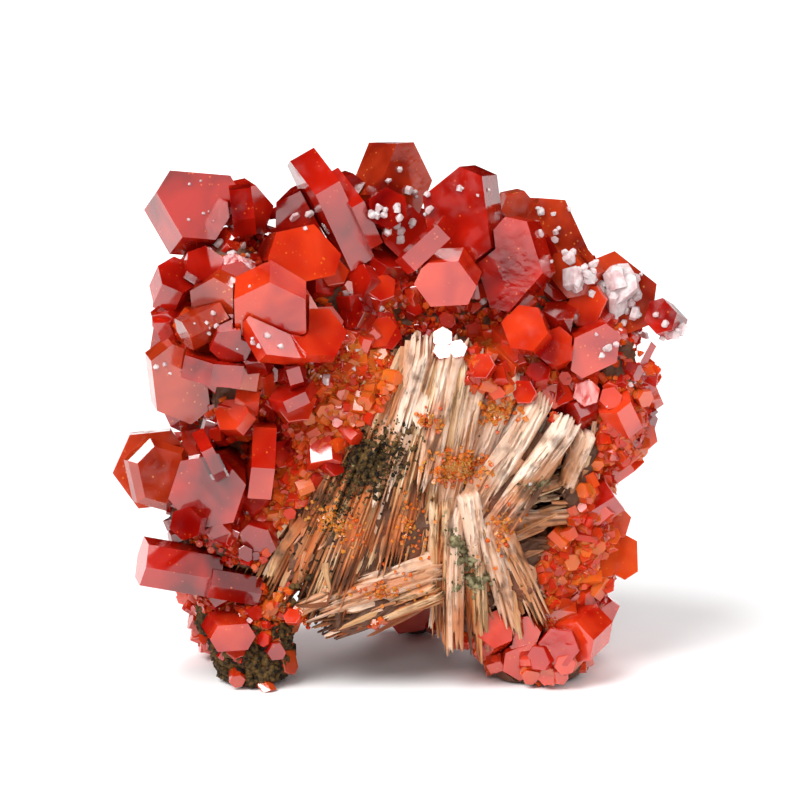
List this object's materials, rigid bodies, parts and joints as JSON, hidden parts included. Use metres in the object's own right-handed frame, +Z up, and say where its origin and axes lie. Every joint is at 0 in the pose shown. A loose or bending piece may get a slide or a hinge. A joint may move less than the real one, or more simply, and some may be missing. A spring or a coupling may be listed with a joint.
{
  "type": "mineral specimen",
  "caption": "Cluster of red hexagonal vanadinite crystals, thick tablets and short prisms, over a fan of tan splintery barite blades; stands on three small feet.",
  "frame": {"origin": "on the resting plane, under the middle of the bounding box", "axes": "+Z up, +X to the right as seen from the front, -Y towards the front (the side with the open barite fan)"},
  "size_m": [0.067, 0.039, 0.0632],
  "materials": {
    "vanadinite": "vitreous, translucent deep red",
    "barite": "dull to silky, splintery"
  },
  "bodies": {
    "root": {"tablet_top_diagonal": "vanadinite", "plate_top_right_dark": "vanadinite", "plate_centre_pink": "vanadinite", "plate_top_right_broad": "vanadinite", "tablets_top_leaning": "vanadinite", "plate_top_middle": "vanadinite", "crystals_top_small": "vanadinite", "crystal_top_behind": "vanadinite", "plate_top_left_shaded": "vanadinite", "tablet_upper_left": "vanadinite", "plate_upper_left": "vanadinite", "plate_upper_left_back": "vanadinite", "crystal_upper_bright": "vanadinite", "tablet_roof": "vanadinite", "tablet_left_edge": "vanadinite", "tablet_left_inner": "vanadinite", "tablet_left_brown": "vanadinite", "prism_left_grey": "vanadinite", "tablets_centre_left": "vanadinite", "tablet_left_dark_face": "vanadinite", "tablet_left_shelf": "vanadinite", "plate_left_large": "vanadinite", "tablets_middle": "vanadinite", "tablet_left_blade": "vanadinite", "prism_lower_pink": "vanadinite", "plate_lower_left": "vanadinite", "plate_lower_left_back": "vanadinite", "crystal_lower_left_deep": "vanadinite", "crystal_lower_left_small": "vanadinite", "prisms_lower_left": "vanadinite", "plate_right_hexagon": "vanadinite", "plate_right_large": "vanadinite", "crystal_right_brown": "vanadinite", "crystal_right_edge": "vanadinite", "plates_right_back": "vanadinite", "crystals_right_red": "vanadinite", "crystals_right_pair": "vanadinite", "crystal_trio_centre": "vanadinite", "crystal_foot_left": "vanadinite", "crystal_foot_right_orange": "vanadinite", "crystals_foot_right": "vanadinite", "crystal_foot_right_large": "vanadinite", "crystal_rear_foot": "vanadinite", "plate_right_rim": "vanadinite", "crystals_back_top": "vanadinite", "crystals_back_top_left": "vanadinite", "crystals_back_top_right": "vanadinite", "plates_back_upper_left": "vanadinite", "plates_back_upper_right": "vanadinite", "crystals_back_centre": "vanadinite", "crystals_back_left": "vanadinite", "crystals_back_right": "vanadinite", "crystals_back_lower_left": "vanadinite", "crystals_back_lower_centre": "vanadinite", "crystals_back_lower_right": "vanadinite", "crystals_side_left": "vanadinite", "crystals_side_left_lower": "vanadinite", "crystals_side_right": "vanadinite", "crystals_side_right_lower": "vanadinite", "barite_matrix": "barite"}
  },
  "joints": []
}
